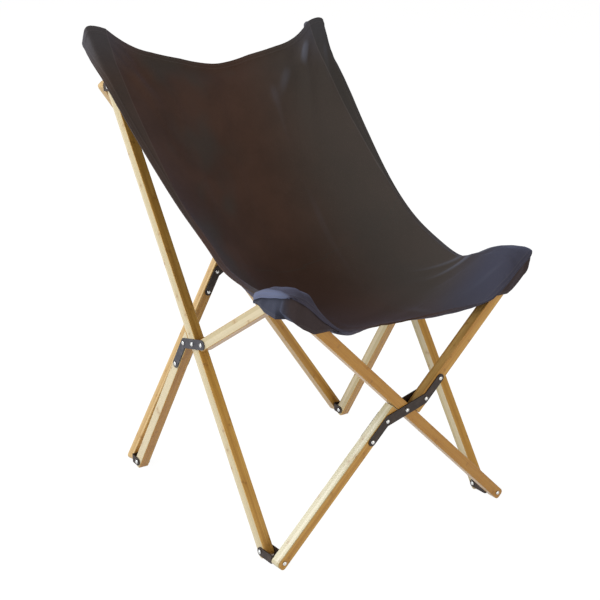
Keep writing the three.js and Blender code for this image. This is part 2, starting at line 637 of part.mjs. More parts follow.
// A closed sheet of canvas between two shares of the stations
function slingPanel(surface, from, to, rows) {
  const columns = bowlColumns + 2 * wingColumns;
  const share = (row) => THREE.MathUtils.lerp(from, to, row / rows);
  const grid = [];
  for (let row = 0; row <= rows; row += 1) {
    for (let column = 0; column <= columns; column += 1) grid.push(surface(share(row), column));
  }
  const at = (row, column) => grid[row * (columns + 1) + column];
  const positions = [];
  for (const side of [1, -1]) {
    for (let row = 0; row <= rows; row += 1) {
      for (let column = 0; column <= columns; column += 1) {
        const down = at(Math.min(row + 1, rows), column).clone().sub(at(Math.max(row - 1, 0), column));
        const over = at(row, Math.min(column + 1, columns)).clone().sub(at(row, Math.max(column - 1, 0)));
        const normal = down.cross(over).normalize();
        positions.push(...at(row, column).clone().addScaledVector(normal, (side * canvasThickness) / 2));
      }
    }
  }
  const layer = (rows + 1) * (columns + 1);
  const index = [];
  const quad = (a, b, c, d) => index.push(a, b, c, a, c, d);
  const node = (row, column) => row * (columns + 1) + column;
  for (let row = 0; row < rows; row += 1) {
    for (let column = 0; column < columns; column += 1) {
      const [a, b] = [node(row, column), node(row + 1, column)];
      const [c, d] = [node(row + 1, column + 1), node(row, column + 1)];
      quad(a, b, c, d);
      quad(layer + a, layer + d, layer + c, layer + b);
    }
  }
  const rimRun = (spots) => {
    for (let i = 1; i < spots.length; i += 1) {
      quad(spots[i], spots[i - 1], layer + spots[i - 1], layer + spots[i]);
    }
  };
  const rowSpots = (row) => Array.from({ length: columns + 1 }, (_, column) => node(row, column));
  const columnSpots = (column) => Array.from({ length: rows + 1 }, (_, row) => node(row, column));
  rimRun(rowSpots(0).reverse());
  rimRun(columnSpots(0));
  rimRun(rowSpots(rows));
  rimRun(columnSpots(columns).reverse());
  const geometry = new THREE.BufferGeometry();
  geometry.setAttribute("position", new THREE.Float32BufferAttribute(positions, 3));
  geometry.setIndex(index);
  geometry.computeVertexNormals();
  return geometry;
}

// The same pieces on the other side of the chair
function mirrored(half) {
  const copy = half.clone();
  copy.scale.x = -1;
  copy.traverse((object) => {
    object.name = object.name.replace("left", "right");
  });
  return copy;
}

const chair = new THREE.Group();
const front = frontFrame();
const hinge = new THREE.Vector2(linkHingeSetback - frontFootSetback, front.top + linkHingeLift);
const leftHalf = new THREE.Group();
leftHalf.add(sideFrame(hinge));
const hingeHeight = footRivetHeight + hinge.y;
const leftPocket = piece("front_left_pocket", frontPocket(hingeHeight), canvas);
leftHalf.add(leftPocket);
chair.add(front.frame, leftHalf);
clearOfBars(chair, leftPocket, [["front_through_bar", 1], ["front_upper_bar", -1], ["left_link", 1]]);
trimAtFloor(chair, ["front_through_bar", "front_lower_bar", "left_long_bar", "left_rear_leg"]);
chair.add(mirrored(leftHalf));

const longBarUp = new THREE.Vector2(Math.sin(longBarLean), Math.cos(longBarLean));
const onLongBar = (along) => longBarUp.clone().multiplyScalar(along);
chair.add(backFrame(onLongBar(longBarToCross + crossToTop)));

const inChair = (point) => point.clone().add({ x: -footRivetY, y: footRivetHeight });
const topCorner = inChair(onLongBar(longBarToCross + crossToTop + tipBeyondTop));
const frontCorner = inChair(hinge).add({ x: 0, y: rimRise });
const surface = slingSurface(topCorner, frontCorner, longBarUp);
const seam = clearance / 2 / topCorner.distanceTo(frontCorner); // half the gap at the crease, as a share
chair.add(piece("sling_back", slingPanel(surface, 0, creaseShare - seam, backRows), canvas));
chair.add(piece("sling_seat", slingPanel(surface, creaseShare + seam, 1, seatRows), canvas));

const box = new THREE.Box3().setFromObject(chair, true);
chair.position.y = -(box.min.y + box.max.y) / 2;
export default chair;
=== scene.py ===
# %% [markdown]
# Butterfly sling chair.
# A folding chair made of four bamboo scissors and one canvas sling. The imported model already holds
# every bar, plate, clip and rivet at its true size, so this lesson only dresses it: camera and light,
# finishes for the hard parts, then the canvas, which is where modelling pays off.

import json
import math

import bpy
import numpy as np
from mathutils import Matrix, Vector, noise
from mathutils.bvhtree import BVHTree


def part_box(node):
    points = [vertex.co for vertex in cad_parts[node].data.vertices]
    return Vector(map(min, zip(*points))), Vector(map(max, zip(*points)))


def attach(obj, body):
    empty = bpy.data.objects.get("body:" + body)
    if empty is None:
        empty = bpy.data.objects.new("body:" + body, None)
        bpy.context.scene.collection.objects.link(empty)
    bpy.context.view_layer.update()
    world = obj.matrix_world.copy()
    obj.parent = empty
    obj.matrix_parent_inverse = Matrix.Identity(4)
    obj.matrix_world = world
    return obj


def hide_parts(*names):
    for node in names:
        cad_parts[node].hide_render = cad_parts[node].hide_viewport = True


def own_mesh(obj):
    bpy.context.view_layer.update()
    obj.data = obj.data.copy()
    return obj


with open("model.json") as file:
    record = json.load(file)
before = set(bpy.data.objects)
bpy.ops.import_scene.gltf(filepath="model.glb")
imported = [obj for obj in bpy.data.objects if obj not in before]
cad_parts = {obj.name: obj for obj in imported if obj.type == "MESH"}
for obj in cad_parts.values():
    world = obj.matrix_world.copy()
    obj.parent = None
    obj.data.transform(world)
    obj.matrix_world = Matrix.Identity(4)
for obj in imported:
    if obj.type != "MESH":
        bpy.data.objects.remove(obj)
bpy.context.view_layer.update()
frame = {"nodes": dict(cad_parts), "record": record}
nodes = frame["nodes"]
MM = 0.001

# %% [markdown]
# The camera stands to the left of the chair's front and a little above it. Its three axes are built
# from an azimuth, an elevation and a small roll, which is easier to read and to correct than angles
# typed into a rotation.

# %% Camera
azimuth, elevation, roll = (math.radians(angle) for angle in (-37.577, 18.241, 2.713))
back = Vector((
    math.sin(azimuth) * math.cos(elevation),
    -math.cos(azimuth) * math.cos(elevation),
    math.sin(elevation),
))
level = Vector((math.cos(azimuth), math.sin(azimuth), 0))
upward = back.cross(level)
camera_x = math.cos(roll) * level + math.sin(roll) * upward
camera_y = math.cos(roll) * upward - math.sin(roll) * level
bpy.ops.object.camera_add()
camera = bpy.context.object
camera.name = "camera"
camera.data.lens = 79.0
camera.data.clip_end = 200
camera.matrix_world = Matrix.Translation((-1.596308, -2.085782, 1.245673)) @ Matrix(
    (camera_x, camera_y, back)
).transposed().to_4x4()
bpy.context.scene.camera = camera
print("camera", [round(value, 3) for value in camera.location])

# %% [markdown]
# Materials are small graphs of nodes. A few helpers keep them readable: one adds a node, sets it and
# links what comes in, and others do sums, mix colours and make soft steps. Colours are written as the
# screen shows them and turned into the linear numbers that a renderer works with.

# %% Node helpers
def add(tree, kind, inputs=None, **settings):
    made = tree.nodes.new("ShaderNode" + kind)
    for name, value in settings.items():
        setattr(made, name, value)
    for socket, value in (inputs or {}).items():
        if isinstance(value, bpy.types.NodeSocket):
            tree.links.new(value, made.inputs[socket])
        else:
            made.inputs[socket].default_value = value
    return made


def maths(tree, operation, *values):
    return add(tree, "Math", dict(enumerate(values)), operation=operation).outputs[0]


def mixed(tree, share, first, second):
    return add(tree, "Mix", {0: share, 6: first, 7: second}, data_type="RGBA").outputs[2]


def ramp(tree, value, start, end, low=0.0, high=1.0):
    sockets = {"Value": value, "From Min": start, "From Max": end, "To Min": low, "To Max": high}
    return add(tree, "MapRange", sockets, interpolation_type="SMOOTHSTEP").outputs["Result"]


def colour(code):
    shown = [int(code[spot:spot + 2], 16) / 255 for spot in (1, 3, 5)]
    return [part / 12.92 if part <= 0.04045 else ((part + 0.055) / 1.055) ** 2.4 for part in shown] + [1]


def finish_for(name, **constants):
    material = bpy.data.materials.new(name)
    material.use_nodes = True
    shader = material.node_tree.nodes["Principled BSDF"]
    for socket, value in constants.items():
        shader.inputs[socket.replace("_", " ")].default_value = value
    return material, material.node_tree, shader


def dress(name, finish):
    nodes[name].data.materials.clear()
    nodes[name].data.materials.append(finish)


print("white is", colour("#ffffff"))

# %% [markdown]
# The studio is a wide pale floor that runs into a white background. A camera ray sees the floor
# mostly as plain white, with a share of its real shading, so the chair keeps a soft shadow and
# nothing else shows. The same holds for the world: white to the camera and in reflections, and a
# calmer grey as a light.

# %% Floor and world
bpy.ops.object.select_all(action="DESELECT")
bpy.ops.mesh.primitive_plane_add(size=60)
floor = bpy.context.object
floor.name = "floor"
floor_finish = bpy.data.materials.new("studio_floor")
floor_finish.use_nodes = True
tree = floor_finish.node_tree
tree.nodes.clear()
light_path = add(tree, "LightPath")
rays = light_path.outputs
seen = maths(tree, "MAXIMUM", rays["Is Camera Ray"], rays["Is Glossy Ray"])
seen = maths(tree, "MAXIMUM", seen, rays["Is Transmission Ray"])
paint = add(tree, "BsdfDiffuse", {"Color": (0.56, 0.55, 0.54, 1)})
white = add(tree, "Emission", {"Color": (1, 1, 1, 1), "Strength": 1.2})
share = maths(tree, "MULTIPLY", seen, 0.8)
surface = add(tree, "MixShader", {0: share, 1: paint.outputs[0], 2: white.outputs[0]})
add(tree, "OutputMaterial", {"Surface": surface.outputs[0]})
floor.data.materials.append(floor_finish)

world = bpy.data.worlds.new("studio")
bpy.context.scene.world = world
world.use_nodes = True
tree = world.node_tree
tree.nodes.clear()
light_path = add(tree, "LightPath")
rays = light_path.outputs
seen = maths(tree, "MAXIMUM", rays["Is Camera Ray"], rays["Is Transmission Ray"])
softly = add(tree, "Background", {"Color": (1, 0.98, 0.94, 1), "Strength": 0.33})
plainly = add(tree, "Background", {"Color": (1, 1, 1, 1), "Strength": 1.0})
surface = add(tree, "MixShader", {0: seen, 1: softly.outputs[0], 2: plainly.outputs[0]})
add(tree, "OutputWorld", {"Surface": surface.outputs[0]})
bpy.context.scene.view_settings.view_transform = "Standard"
print("floor spans", floor.dimensions[0], "m")

# %% [markdown]
# The main lamp is a large window behind the chair on its left. It makes the bars' left and upper
# faces pale, glances off the lacquer, and leaves their fronts amber and the inside of the sling dark.
# A broad cool panel on the left and a weaker warm one in front open the shadows.

# %% Lamps
def lamp(name, place, target, size, watts, tint):
    bpy.ops.object.light_add(type="AREA", location=place)
    made = bpy.context.object
    made.name = name
    made.data.size = size
    made.data.energy = watts
    made.data.color = tint
    made.rotation_euler = (Vector(target) - Vector(place)).to_track_quat("-Z", "Y").to_euler()
    return made


key = lamp("window_light", (-3.4, 3.6, 3.9), (0, 0, 0.3), 3.2, 290, (0.95, 0.98, 1))
side = lamp("side_panel", (-4.6, -0.4, 1.6), (0, 0, 0.4), 2.6, 115, (0.9, 0.96, 1))
fill = lamp("front_panel", (1.2, -4.4, 1.3), (0, 0, 0.35), 2.4, 76, (1, 0.94, 0.85))
print("lamps", key.data.energy, side.data.energy, fill.data.energy)

# %% [markdown]
# The bars are laminated bamboo: strips about 7 mm wide and 5 mm thick glued side by side, each with
# its own tone, fine fibres along the bar, and the darker bands that were the nodes of the cane. The
# pattern has to run along each bar, and the bars all lean differently, so a Mapping node turns the
# object's coordinates into the bar's own: along, across and through. Those directions are measured
# on the mesh, as the normal of its largest long face. Two sides of each bar are painted pale, partly
# the laminate's own paler face and partly painted window light. The side frames' bars have them left
# and right. Those of the front and back frames have them on their edges, faintly on most bars, and on
# the lower front one strongly, as a painted glare on the lacquer.

# %% Bamboo
strip_width = 7.5 * MM
layer_depth = 5.5 * MM
cane_node_spacing = 0.24


def bar_directions(bar, through):
    faces = [face for face in nodes[bar].data.polygons if abs(face.normal.dot(through)) < 0.2]
    across = max(faces, key=lambda face: face.area).normal.copy()
    along = across.cross(through).normalized()
    return Matrix((along, through.cross(along).normalized(), through))


def bamboo(bar, through, slide, pale_and_lit):
    material, tree, shader = finish_for(
        "bamboo_" + bar, Roughness=0.42, Coat_Weight=0.25, Coat_Roughness=0.2, Specular_IOR_Level=0.3
    )
    turn = bar_directions(bar, through)
    low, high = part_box(bar)
    spot = turn @ ((low + high) / 2)
    coordinates = add(tree, "TexCoord")
    own = add(tree, "Mapping", {
        "Vector": coordinates.outputs["Object"],
        "Rotation": turn.to_euler("XYZ"),
        "Location": Vector((slide, 0, 0)) - spot,
    }).outputs[0]
    axes = add(tree, "SeparateXYZ", {0: own})
    along, across, through_bar = axes.outputs
    strip = maths(tree, "DIVIDE", maths(tree, "ADD", across, 0.1), strip_width)
    strip = maths(tree, "FLOOR", strip)
    layer = maths(tree, "DIVIDE", maths(tree, "ADD", through_bar, 0.099), layer_depth)
    layer = maths(tree, "FLOOR", layer)
    cell = add(tree, "CombineXYZ", {0: strip, 1: layer, 2: slide * 7})
    chance = add(tree, "TexWhiteNoise", {"Vector": cell.outputs[0]}, noise_dimensions="3D")
    fibres_at = add(tree, "VectorMath", {0: own, 1: (9, 650, 650)}, operation="MULTIPLY").outputs[0]
    fibres = add(tree, "TexNoise", {"Vector": fibres_at, "Scale": 1, "Detail": 4, "Roughness": 0.62})
    pores_at = add(tree, "VectorMath", {0: own, 1: (60, 2400, 2400)}, operation="MULTIPLY").outputs[0]
    pores = add(tree, "TexNoise", {"Vector": pores_at, "Scale": 1, "Detail": 2})
    cloud = add(tree, "TexNoise", {"Vector": own, "Scale": 14, "Detail": 2}).outputs["Fac"]
    shift = maths(tree, "MULTIPLY", chance.outputs["Value"], 0.9)
    shifted = maths(tree, "ADD", maths(tree, "ADD", along, 3), shift)
    wrapped = maths(tree, "MODULO", shifted, cane_node_spacing)
    off_node = maths(tree, "ABSOLUTE", maths(tree, "SUBTRACT", wrapped, cane_node_spacing / 2))
    band = ramp(tree, off_node, 1.2 * MM, 3.4 * MM, 1.0, 0.0)
    halo = ramp(tree, off_node, 2 * MM, 16 * MM, 0.22, 0.0)
    tone = ramp(tree, chance.outputs["Value"], 0.1, 0.9)
    facing = {0: coordinates.outputs["Normal"], 1: through}
    facing = add(tree, "VectorMath", facing, operation="DOT_PRODUCT").outputs["Value"]
    # Share of the pale colour on two faces: partly the laminate's own paler face, partly painted window
    # light and glare.
    pale_and_lit = ramp(tree, maths(tree, "ABSOLUTE", facing), 0.7, 0.85, *pale_and_lit)
    shade = mixed(tree, tone, colour("#b37f34"), colour("#d0a353"))
    shade = mixed(tree, ramp(tree, cloud, 0.35, 0.65, 0, 0.5), shade, colour("#bf8f3f"))
    dark_fibres = ramp(tree, fibres.outputs["Fac"], 0.36, 0.62, 0.42, 0)
    shade = mixed(tree, dark_fibres, shade, colour("#96662b"))
    dark_pores = ramp(tree, pores.outputs["Fac"], 0.62, 0.72, 0, 0.35)
    shade = mixed(tree, dark_pores, shade, colour("#7d5322"))
    # Mix towards the pale colour, which is partly the laminate's tone and partly painted light.
    shade = mixed(tree, pale_and_lit, shade, mixed(tree, tone, colour("#bdb492"), colour("#cdc5ab")))
    shade = mixed(tree, halo, shade, colour("#a8742f"))
    shade = mixed(tree, maths(tree, "MULTIPLY", band, 0.3), shade, colour("#7a4e1f"))
    tree.links.new(shade, shader.inputs["Base Color"])
    rough = ramp(tree, fibres.outputs["Fac"], 0.3, 0.7, 0.5, 0.34)
    tree.links.new(rough, shader.inputs["Roughness"])
    relief = maths(tree, "SUBTRACT", fibres.outputs["Fac"], maths(tree, "MULTIPLY", band, 0.5))
    bump = add(tree, "Bump", {"Height": relief, "Strength": 0.16, "Distance": 0.4 * MM})
    tree.links.new(bump.outputs[0], shader.inputs["Normal"])
    return material


sideways = Vector((1, 0, 0))
forwards = Vector((0, 1, 0))
rearwards = Vector((0, 0.987, -0.161)).normalized()
bars = {}
for side in ("left", "right"):
    for bar in ("long_bar", "rear_leg", "link"):
        bars[f"{side}_{bar}"] = sideways
for bar in ("through_bar", "lower_bar", "upper_bar"):
    bars["front_" + bar] = forwards
    bars["back_" + bar] = rearwards
for count, (bar, through) in enumerate(bars.items()):
    # Pale shares per bar: partly the laminate's own faces, partly painted light; on the lower front bar a
    # painted glare.
    pale_and_lit = (0.3, 0)
    if through is sideways:
        pale_and_lit = (0, 0.76)
    elif through is forwards:
        pale_and_lit = (0.95, 0) if bar == "front_lower_bar" else (0.1, 0)
    dress(bar, bamboo(bar, through, 0.37 + 0.173 * count, pale_and_lit))
print("bamboo bars", len(bars))

# %% [markdown]
# Plates and clips are pressed steel with a satin black-brown coating. Paint like this isn't one
# flat colour: it has a fine orange-peel relief, and it is rubbed a little browner in places.

# %% Coated steel
def coated_steel(name, dark, worn, roughness):
    material, tree, shader = finish_for(
        name, Metallic=0.1, Coat_Weight=0.12, Coat_Roughness=0.35, Specular_IOR_Level=0.35
    )
    place = add(tree, "TexCoord").outputs["Object"]
    cloud = add(tree, "TexNoise", {"Vector": place, "Scale": 90, "Detail": 5, "Roughness": 0.65})
    cloud = cloud.outputs["Fac"]
    peel = add(tree, "TexNoise", {"Vector": place, "Scale": 1400, "Detail": 2}).outputs["Fac"]
    rubbed = ramp(tree, cloud, 0.45, 0.75, 0, 0.7)
    tree.links.new(mixed(tree, rubbed, colour(dark), colour(worn)), shader.inputs["Base Color"])
    rough = ramp(tree, cloud, 0.3, 0.7, roughness + 0.08, roughness - 0.06)
    tree.links.new(rough, shader.inputs["Roughness"])
    bump = add(tree, "Bump", {"Height": peel, "Strength": 0.12, "Distance": 0.2 * MM})
    tree.links.new(bump.outputs[0], shader.inputs["Normal"])
    return material


plate_finish = coated_steel("plate_coating", "#281b15", "#43332a", 0.5)
elbow_finish = coated_steel("elbow_coating", "#37353b", "#56545b", 0.46)
plates = [name for name in nodes if "plate" in name or name.endswith("_clip")]
for name in plates:
    dress(name, elbow_finish if "elbow" in name else plate_finish)
print("plates and clips", len(plates))

# %% [markdown]
# Rivets are bright steel. Turned and tumbled heads show faint fine scratches, so the roughness
# follows a fine noise instead of staying even.

# %% Bright steel
rivet_finish, tree, shader = finish_for("bright_steel", Metallic=1.0)
place = add(tree, "TexCoord").outputs["Object"]
scratch = add(tree, "TexNoise", {"Vector": place, "Scale": 1800, "Detail": 3}).outputs["Fac"]
tree.links.new(mixed(tree, scratch, colour("#b9bbbd"), colour("#dddcd8")), shader.inputs["Base Color"])
tree.links.new(ramp(tree, scratch, 0.3, 0.7, 0.2, 0.38), shader.inputs["Roughness"])
bump = add(tree, "Bump", {"Height": scratch, "Strength": 0.08, "Distance": 0.1 * MM})
tree.links.new(bump.outputs[0], shader.inputs["Normal"])
rivets = [name for name in nodes if name.endswith("_rivet")]
for name in rivets:
    dress(name, rivet_finish)
print("rivets", len(rivets))

# %% [markdown]
# Every rivet in the frame has a ten-sided head, and those of the plates are one solid with the dark
# plate. A smooth bright cap over each head gives it the look of a pressed dome. The heads are found
# by their apex: a corner where ten small triangles of equal length meet. One cap is modelled from a
# sphere that is cut in half and flattened, with a narrow rim, and then copied to each head.

# %% Find the heads
head_sides = 10
apex_edge = 2.88 * MM
apex_slack = 0.06 * MM


def head_apexes(name):
    mesh = nodes[name].data
    corners = {}
    for face in mesh.polygons:
        for corner in face.vertices:
            spot = mesh.vertices[corner].co
            corners.setdefault(tuple(round(value * 1e4) for value in spot), []).append(face)
    found = []
    for faces in corners.values():
        if len(faces) != head_sides:
            continue
        ring = [mesh.vertices[corner].co for face in faces for corner in face.vertices]
        middle = min(ring, key=lambda spot: sum((spot - other).length for other in ring))
        reach = [(spot - middle).length for spot in ring if (spot - middle).length > 1e-5]
        if all(abs(length - apex_edge) < apex_slack for length in (min(reach), max(reach))):
            facing = sum((face.normal for face in faces), Vector()).normalized()
            found.append((middle.copy(), facing))
    return found


heads = {}
for body, members in frame["record"]["behaviour"]["bodies"].items():
    steel = [name for name in members if name in plates + rivets]
    heads[body] = [head for name in steel for head in head_apexes(name)]
print("rivet heads", sum(len(found) for found in heads.values()))

# %% One cap
head_radius = 4.3 * MM
head_rise = 2.1 * MM
bpy.ops.object.select_all(action="DESELECT")
bpy.ops.mesh.primitive_uv_sphere_add(segments=24, ring_count=12, radius=head_radius)
cap = bpy.context.object
cap.name = "rivet_cap"
bpy.ops.object.mode_set(mode="EDIT")
bpy.ops.mesh.select_all(action="SELECT")
bpy.ops.mesh.bisect(plane_co=(0, 0, 0.4 * MM), plane_no=(0, 0, 1), clear_inner=True, use_fill=False)
bpy.ops.mesh.select_all(action="DESELECT")
bpy.ops.mesh.select_non_manifold()
bpy.ops.mesh.extrude_edges_move(TRANSFORM_OT_translate={"value": (0, 0, -0.8 * MM)})
bpy.ops.mesh.edge_face_add()
bpy.ops.mesh.select_all(action="SELECT")
bpy.ops.transform.resize(value=(1, 1, head_rise / head_radius))
bpy.ops.mesh.normals_make_consistent(inside=False)
bpy.ops.object.mode_set(mode="OBJECT")
bpy.ops.object.shade_smooth_by_angle(angle=math.radians(40))
cap.data.materials.append(rivet_finish)
print("cap", len(cap.data.polygons), "faces, rises", max(corner.co.z for corner in cap.data.vertices))

# %% Caps on every head
for body, found in heads.items():
    copies = []
    for spot, facing in found:
        copy = cap.copy()
        copy.data = cap.data.copy()
        bpy.context.collection.objects.link(copy)
        sunk = spot - facing * (head_rise - 0.12 * MM)
        turned = facing.to_track_quat("Z", "Y").to_matrix().to_4x4()
        copy.data.transform(Matrix.Translation(sunk) @ turned)
        copies.append(copy)
    if not copies:
        continue
    bpy.ops.object.select_all(action="DESELECT")
    for copy in copies:
        copy.select_set(True)
    bpy.context.view_layer.objects.active = copies[0]
    bpy.ops.object.join()
    caps = bpy.context.object
    caps.name = caps.data.name = f"rivet_heads_{body}"
    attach(caps, body)
bpy.data.objects.remove(cap)

# %% [markdown]
# The canvas is a heavy plain weave in a brown so dark that it looks black in the shade. Cloth like
# this has a soft blue sheen where the light grazes it, lint and slightly uneven dye, and its hems
# are held by two rows of stitches. Three maps of the cloth carry the pattern: one in metres across and
# along the cloth for the weave, one with the way along the nearest hem and the distance from it, so
# that stitches follow every edge, and one with the distance from the seam and the height of the folds,
# whose crests get a painted highlight. Some sheen, highlights and shade are painted into the colour too.

# %% Canvas
weave_pitch = 1.1 * MM
stitch_pitch = 3.4 * MM


def canvas(name, deep, worn, patch, patched, painted_sheen_blue, sheen, stitch_rows, browned=0.0):
    material, tree, shader = finish_for(
        name, Roughness=0.88, Sheen_Weight=sheen, Sheen_Roughness=0.42, Sheen_Tint=(0.5, 0.6, 1, 1),
        Specular_IOR_Level=0.22,
    )
    weave_at = add(tree, "UVMap", uv_map="cloth").outputs[0]
    hem_at = add(tree, "SeparateXYZ", {0: add(tree, "UVMap", uv_map="hem").outputs[0]})
    threads = add(tree, "SeparateXYZ", {0: weave_at})
    turns = 2 * math.pi / weave_pitch
    warp = maths(tree, "SINE", maths(tree, "MULTIPLY", threads.outputs[0], turns))
    weft = maths(tree, "SINE", maths(tree, "MULTIPLY", threads.outputs[1], turns))
    weave = maths(tree, "MULTIPLY", warp, weft)
    place = add(tree, "TexCoord").outputs["Object"]
    dye = add(tree, "TexNoise", {"Vector": place, "Scale": 9, "Detail": 4, "Roughness": 0.55})
    lint_at = add(tree, "VectorMath", {0: weave_at, 1: (260, 900, 1)}, operation="MULTIPLY").outputs[0]
    lint = add(tree, "TexNoise", {"Vector": lint_at, "Scale": 1, "Detail": 3}).outputs["Fac"]
    shade = mixed(tree, ramp(tree, dye.outputs["Fac"], 0.3, 0.7), colour(deep), colour(worn))
    faded = add(tree, "TexNoise", {"Vector": place, "Scale": 3.7, "Detail": 3, "Roughness": 0.6})
    at_x, at_y, at_z = add(tree, "SeparateXYZ", {0: place}).outputs
    outside = maths(tree, "ABSOLUTE", at_x)
    rightward = ramp(tree, at_x, 0.02, 0.2, 0, 0.7)
    # Painted shade: a deeper brown on the low seat, from the middle leftwards.
    painted_seat_shade = maths(tree, "MULTIPLY", ramp(tree, at_z, 0.5, 0.42, 0, 0.6), ramp(tree, at_x, 0.16, 0))
    patchy = ramp(tree, faded.outputs["Fac"], 0.48, 0.64, 0, patched)
    patchy = maths(tree, "MAXIMUM", patchy, rightward)
    shade = mixed(tree, patchy, shade, colour(patch))
    shade = mixed(tree, painted_seat_shade, shade, colour("#3b2518"))
    # Painted sheen: towards the front corners the brown turns blue, as the canvas's sheen shows there.
    frontness = ramp(tree, at_y, -0.2, -0.33)
    cornered = ramp(tree, outside, 0.04, 0.22, 0.04, 0.8)
    shade = mixed(tree, maths(tree, "MULTIPLY", frontness, cornered), shade, colour(painted_sheen_blue))
    # Painted sheen: a light slate-blue stripe on the folded band along the outer front edges, none on the
    # pockets.
    band_sheen = ramp(tree, outside, 0.296, 0.303, 0, 0.0 if browned else 0.6)
    band_sheen = maths(tree, "MULTIPLY", band_sheen, ramp(tree, at_y, -0.2, -0.26))
    shade = mixed(tree, band_sheen, shade, colour("#6f7896"))
    front_face = ramp(tree, at_y, -0.354, -0.37, 0, browned)
    shade = mixed(tree, front_face, shade, colour("#3c2e29"))
    # Painted highlight: the cloth near the two top tips is painted paler blue-grey, where light catches
    # the folds.
    mirrored = add(tree, "VectorMath", {0: place}, operation="ABSOLUTE").outputs[0]
    off_tip = add(tree, "VectorMath", {0: mirrored, 1: (0.285, 0.36, 0.91)}, operation="DISTANCE")
    tip_highlight = ramp(tree, off_tip.outputs["Value"], 0.14, 0.01, 0, 0.65)
    shade = mixed(tree, tip_highlight, shade, colour("#53545f"))
    seam_map = add(tree, "SeparateXYZ", {0: add(tree, "UVMap", uv_map="seam").outputs[0]})
    off_seam, crest = seam_map.outputs[0], seam_map.outputs[1]
    winged = ramp(tree, off_seam, -1 * MM, 3 * MM, 0, 0.4)
    winged = maths(tree, "MULTIPLY", winged, ramp(tree, off_seam, 0.4, 0.2))
    shade = mixed(tree, winged, shade, colour("#3b3a35"))
    # Painted highlight: the crests of the folds are painted paler.
    shade = mixed(tree, ramp(tree, crest, 0.8 * MM, 4 * MM, 0, 0.6), shade, colour("#656876"))
    shade = mixed(tree, ramp(tree, lint, 0.58, 0.74, 0, 0.3), shade, colour("#6b5d58"))
    # Painted shade in the hollows of the weave, between the threads.
    shade = mixed(tree, ramp(tree, weave, -0.6, 0.6, 0.25, 0), shade, colour("#1c1613"))
    dash = maths(tree, "MULTIPLY", hem_at.outputs[0], 2 * math.pi / stitch_pitch)
    dash = ramp(tree, maths(tree, "SINE", dash), -0.7, -0.3)
    sewn = None
    for row in stitch_rows:
        off_row = maths(tree, "ABSOLUTE", maths(tree, "SUBTRACT", hem_at.outputs[1], row))
        line = maths(tree, "MULTIPLY", ramp(tree, off_row, 0.35 * MM, 0.75 * MM, 1.0, 0.0), dash)
        sewn = line if sewn is None else maths(tree, "MAXIMUM", sewn, line)
    seam = ramp(tree, maths(tree, "ABSOLUTE", off_seam), 0.5 * MM, 1.6 * MM, 1.0, 0.0)
    sewn = maths(tree, "MAXIMUM", sewn, maths(tree, "MULTIPLY", seam, 0.7))
    shade = mixed(tree, maths(tree, "MULTIPLY", sewn, 0.35), shade, colour("#66605f"))
    tree.links.new(shade, shader.inputs["Base Color"])
    relief = maths(tree, "ADD", maths(tree, "MULTIPLY", weave, 0.25), maths(tree, "MULTIPLY", lint, 0.4))
    relief = maths(tree, "ADD", relief, maths(tree, "MULTIPLY", sewn, 1.2))
    bump = add(tree, "Bump", {"Height": relief, "Strength": 0.35, "Distance": 0.35 * MM})
    tree.links.new(bump.outputs[0], shader.inputs["Normal"])
    return material


hem_rows = (4 * MM, 11 * MM)
pocket_rows = (3.5 * MM, 7 * MM)
sling_finish = canvas(
    "sling_canvas", "#443026", "#4f382d", "#3f3d39", 0.6, "#3b3d50", 0.14, hem_rows
)
# The pockets are the same brown canvas. Their slate-blue base colour is painted sheen, and only their
# front faces are turned back to the brown.
pocket_finish = canvas(
    "pocket_canvas", "#322f36", "#38373f", "#352c32", 0.7, "#383b4a", 0.16, pocket_rows, browned=0.8
)
print("canvas finishes", sling_finish.name, pocket_finish.name)

# %% [markdown]
# All the cloth starts as a flat grid, one cell about 6 mm wide, that is moved onto its shape row by
# row. This helper does that, measures the cloth both ways for its maps, marks the hem, and gives
# the sheet its thickness with a Solidify modifier that is twice as thick along the hem, where the
# canvas is folded over.

# %% Cloth helper
cuts = {}


